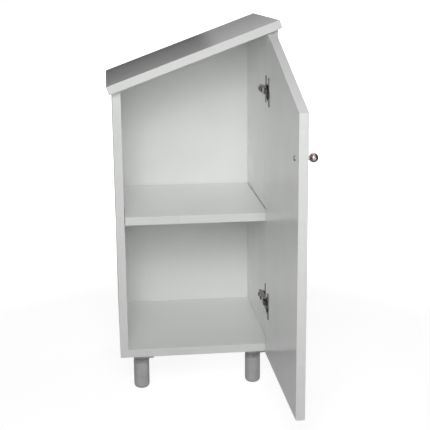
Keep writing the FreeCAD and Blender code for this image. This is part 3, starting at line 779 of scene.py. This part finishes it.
leg_plastic = moulded_plastic("grey_leg_plastic", plastic_dark, plastic_light, 0.3)
socket_plastic = moulded_plastic("dark_socket_plastic", socket_dark, socket_light, 0.36)
leg_screws = []
for corner in ("front_left", "front_right", "back_left", "back_right"):
    foot_low, foot_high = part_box("foot_" + corner)
    tube_low, tube_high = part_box("leg_tube_" + corner)
    socket_low, socket_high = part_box("leg_socket_" + corner)
    leg_centre = Vector(((foot_low.x + foot_high.x) / 2, (foot_low.y + foot_high.y) / 2, 0.0))
    leg_radius = (foot_high.x - foot_low.x) / 2
    foot_top = tube_low.z - ring_gap
    foot_profile = [(0.0, 0.0), (leg_radius - foot_round, 0.0)]
    foot_profile += arc(foot_round, (leg_radius - foot_round, foot_round), -90, 0, 10)[1:]
    foot_profile += [(leg_radius, tube_low.z - lip), (leg_radius - lip_step, foot_top - lip_step),
                     (leg_radius - lip, foot_top), (spindle, foot_top), (spindle, foot_high.z - end_ease),
                     (spindle - end_ease, foot_high.z), (0.0, foot_high.z)]
    foot = turned(foot_profile, round_sides)
    bmesh.ops.translate(foot, verts=foot.verts, vec=leg_centre)
    settle(foot, "foot_" + corner, "foot_" + corner, leg_plastic)

    bore_top = tube_low.z + bore_length
    shoulder = socket_low.z - ring_gap
    tube_profile = [(bore, tube_low.z), (leg_radius - lip, tube_low.z),
                    (leg_radius - lip_step, tube_low.z + lip_step), (leg_radius, tube_low.z + lip),
                    (leg_radius, socket_low.z - shoulder_drop),
                    (leg_radius - shoulder_step, socket_low.z - shoulder_step),
                    (leg_radius - end_ease, shoulder), (spigot, shoulder), (spigot, tube_high.z - end_ease),
                    (spigot - end_ease, tube_high.z), (0.0, tube_high.z), (0.0, bore_top), (bore, bore_top),
                    (bore, tube_low.z)]
    tube = turned(tube_profile, round_sides)
    bmesh.ops.translate(tube, verts=tube.verts, vec=leg_centre)
    settle(tube, "leg_tube_" + corner, "cabinet", leg_plastic)

    plate_bottom = socket_high.z - plate_thickness
    plate_size = socket_high - socket_low
    plate_middle = (socket_low + socket_high) / 2
    plate = slab([(plate_middle.x + x, plate_middle.y + y, plate_bottom)
                  for x, y in rounded_outline(plate_size.x, plate_size.y, plate_corner)],
                 (0.0, 0.0, plate_thickness))
    soften(plate, plate_round, 2)
    collar_top = socket_low.z + collar_height
    socket_top = socket_low.z + socket_depth
    tower = turned([(socket_bore, socket_low.z), (leg_radius - collar_ease, socket_low.z),
                    (leg_radius, socket_low.z + collar_ease), (leg_radius, collar_top),
                    (leg_radius - collar_step, collar_top + collar_step),
                    (leg_radius - collar_step, plate_bottom - end_ease),
                    (leg_radius + collar_ease, plate_bottom), (0.0, plate_bottom), (0.0, socket_top),
                    (socket_bore, socket_top), (socket_bore, socket_low.z)], round_sides)
    bmesh.ops.translate(tower, verts=tower.verts, vec=leg_centre)
    parts = [plate, tower]
    rib_low = plate_bottom - rib_height
    for turn, reach in ((0, socket_high.x - leg_centre.x), (90, socket_high.y - leg_centre.y),
                        (-90, socket_high.y - leg_centre.y)):
        rib_outline = [(leg_radius - rib_root, rib_low), (leg_radius - collar_ease, rib_low),
                       (reach - rib_root, plate_bottom), (leg_radius - rib_root, plate_bottom)]
        rib = slab([(out, -rib_half, height) for out, height in rib_outline], (0.0, 2 * rib_half, 0.0))
        soften(rib, rib_round, 2)
        place = Matrix.Translation(leg_centre) @ Matrix.Rotation(math.radians(turn), 4, "Z")
        bmesh.ops.transform(rib, matrix=place, verts=rib.verts)
        parts.append(rib)
    settle(gather(parts), "leg_socket_" + corner, "cabinet", socket_plastic)
    for screw_x in (socket_low.x + leg_screw_inset, socket_high.x - leg_screw_inset):
        for screw_y in (socket_low.y + leg_screw_inset, socket_high.y - leg_screw_inset):
            screw = wood_screw()
            aim(screw, (screw_x, screw_y, plate_bottom - screw_stand), (0, 0, -1))
            leg_screws.append(screw)
settle(gather(leg_screws), "leg_screws", "cabinet", zinc)

# Floor: a plain pale studio floor that runs out of view on every side.
# It stays white to the camera, and in gloss away from the cabinet, and keeps a soft shadow near the legs.
floor_white = (0.62, 0.62, 0.62, 1.0)
paper_white = (1.0, 1.0, 1.0, 1.0)
paper_light = 1.45
near_share = 0.6
shadow_reach = 0.7
plain_reach = 1.6
floor_half = 30.0


def stage_piece(name, corners, material):
    """A flat piece of the studio, which isn't part of the cabinet."""
    shape = bmesh.new()
    shape.faces.new([shape.verts.new(corner) for corner in corners])
    mesh = bpy.data.meshes.new(name)
    shape.to_mesh(mesh)
    shape.free()
    mesh.materials.append(material)
    piece = bpy.data.objects.new(name, mesh)
    bpy.context.scene.collection.objects.link(piece)
    return piece


def seen_and_mirrored(tree):
    """One wire for rays from the camera, and one for rays in gloss or through glass."""
    start = Wire(tree, None)
    seen = start.add("ShaderNodeLightPath", {}, {}, "Is Camera Ray")
    mirrored = start.add("ShaderNodeLightPath", {}, {}, "Is Glossy Ray")
    through = start.add("ShaderNodeLightPath", {}, {}, "Is Transmission Ray")
    return seen, mirrored.maths("MAXIMUM", mirrored, through)


floor_paint, floor_spot, floor_shader = start_finish("floor_paint")
floor_tree = floor_paint.node_tree
floor_shader.inputs["Base Color"].default_value = floor_white
floor_shader.inputs["Roughness"].default_value = 0.9
floor_matt = Wire(floor_tree, floor_shader.outputs[0])
distance = floor_spot.add("ShaderNodeVectorMath", {"operation": "LENGTH"}, {0: floor_spot}, 1)
plain = distance.between(shadow_reach, plain_reach)
paper = floor_spot.add("ShaderNodeEmission", {}, {"Color": paper_white, "Strength": paper_light})
floor_seen, floor_mirrored = seen_and_mirrored(floor_tree)
floor_share = floor_seen * (near_share + (1.0 - near_share) * plain) + floor_mirrored * plain
floor_look = floor_spot.add("ShaderNodeMixShader", {}, {0: floor_share, 1: floor_matt, 2: paper})
floor_look.into(floor_tree.nodes["Material Output"], "Surface")
stage_piece("studio_floor", [(-floor_half, -floor_half, 0.0), (floor_half, -floor_half, 0.0),
                             (floor_half, floor_half, 0.0), (-floor_half, floor_half, 0.0)], floor_paint)

# Reflection screens: a grey card close behind the cabinet, black below, and a dark one beyond the door.
# They show only as reflections, and give the top its dark band and the knob its dark rim.
screen_line = left_high.y + 0.12
screen_half = 4.0
screen_top = 1.05
screen_climb = math.tan(slope_angle)
screen_start = Vector((top_low.x, 0.0, top_low.z + board_thickness * math.cos(slope_angle)))
screen_lift = 0.02
screen_fade = 0.07
screen_black = screen_start.z - screen_climb * screen_start.x + screen_lift
screen_grey = screen_black + screen_fade
above_light = 0.25
beside_light = 0.33
flag_near = Vector((0.9, -0.9, 0.0))
flag_far = Vector((0.55, screen_line, 0.0))
flag_top = 1.6
flag_grey = (0.12, 0.12, 0.12, 1.0)


def reflection_card(name, start, end, height, light):
    """An upright card that only gloss can see, with its own light at each place."""
    material, spot = start_finish(name)[:2]
    glow = spot.add("ShaderNodeEmission", {}, {"Color": light(spot)})
    glow.into(material.node_tree.nodes["Material Output"], "Surface")
    lift = Vector((0.0, 0.0, height))
    card = stage_piece(name, [start, end, end + lift, start + lift], material)
    card.visible_camera = False
    card.visible_diffuse = False
    card.visible_transmission = False
    card.visible_shadow = False


def card_light(spot):
    """Black below the line of the top, and grey above it and towards the tall side."""
    across = spot.add("ShaderNodeSeparateXYZ", {}, {"Vector": spot}, 0)
    height = spot.add("ShaderNodeSeparateXYZ", {}, {"Vector": spot}, 2)
    above = (height - screen_climb * across).between(screen_black, screen_grey)
    beside = across.between(0.02, 0.07) * height.between(0.5, 0.6)
    return above_light * above + beside_light * beside


def flag_light(spot):
    """Nearly black all over."""
    return flag_grey


reflection_card("reflection_screen", Vector((-screen_half, screen_line, 0.0)),
                Vector((screen_half, screen_line, 0.0)), screen_top, card_light)
reflection_card("reflection_flag", flag_near, flag_far, flag_top, flag_light)

# Studio light: three soft lamps in front, one high, one at the left and one by the camera. Two more, behind
# and at the right, light the far sides and are kept out of gloss.
# The surround is white to the camera and in gloss, and otherwise gives a little fill from the sides.
cabinet_middle = Vector((0.0, 0.0, 0.45))
surround_fill = 0.19
surround = bpy.data.worlds.new("studio_surround")
bpy.context.scene.world = surround
surround.use_nodes = True
surround_paint = surround.node_tree.nodes["Background"]
surround_paint.inputs["Color"].default_value = paper_white
surround_seen, surround_mirrored = seen_and_mirrored(surround.node_tree)
surround_way = surround_seen.add("ShaderNodeTexCoord", {}, {})
surround_height = surround_way.add("ShaderNodeSeparateXYZ", {}, {"Vector": surround_way}, 2)
surround_low = surround_fill * (1.0 - surround_height.between(0.0, 0.8))
surround_plain = surround_seen + surround_mirrored
(surround_plain + surround_low * (1.0 - surround_plain)).into(surround_paint, "Strength")


def lamp(name, place, width, height, power):
    """A soft rectangular lamp aimed at the middle of the cabinet."""
    light = bpy.data.lights.new(name, "AREA")
    light.shape = "RECTANGLE"
    light.size = width
    light.size_y = height
    light.energy = power
    holder = bpy.data.objects.new(name, light)
    bpy.context.scene.collection.objects.link(holder)
    holder.location = place
    holder.rotation_euler = (cabinet_middle - Vector(place)).to_track_quat("-Z", "Y").to_euler()
    holder.visible_camera = False
    return holder


lamp("high_lamp", (-0.1, -1.7, 1.65), 0.8, 0.8, 8.0)
lamp("left_lamp", (-0.9, -1.6, 1.3), 0.8, 0.8, 3.2)
lamp("camera_lamp", (-0.2, -1.75, 1.15), 0.7, 0.7, 14.8)
back_lamp = lamp("back_lamp", (-1.4, 2.6, 0.5), 1.8, 0.9, 30.0)
right_lamp = lamp("right_lamp", (2.4, 1.8, 1.0), 1.8, 1.4, 28.0)
for far_lamp in (back_lamp, right_lamp):
    far_lamp.visible_glossy = False

# Camera: the photograph's own viewpoint, a little higher than the cabinet and in line with its left side.
# The place is counted from the lower front left corner of the carcass.
camera_data = bpy.data.cameras.new("photo_camera")
camera_data.sensor_width = 36.0
camera_data.lens = 81.49
camera = bpy.data.objects.new("photo_camera", camera_data)
bpy.context.scene.collection.objects.link(camera)
camera_place = left_low + Vector((-0.0062, -2.0364, 0.8284))
look_right = 0.1076
look_down = 0.2431
lean = -0.0088
camera.matrix_world = (Matrix.Translation(camera_place) @ Matrix.Rotation(-look_right, 4, "Z")
                       @ Matrix.Rotation(math.pi / 2 - look_down, 4, "X") @ Matrix.Rotation(lean, 4, "Z"))
bpy.context.scene.camera = camera
bpy.context.scene.view_settings.view_transform = "Standard"
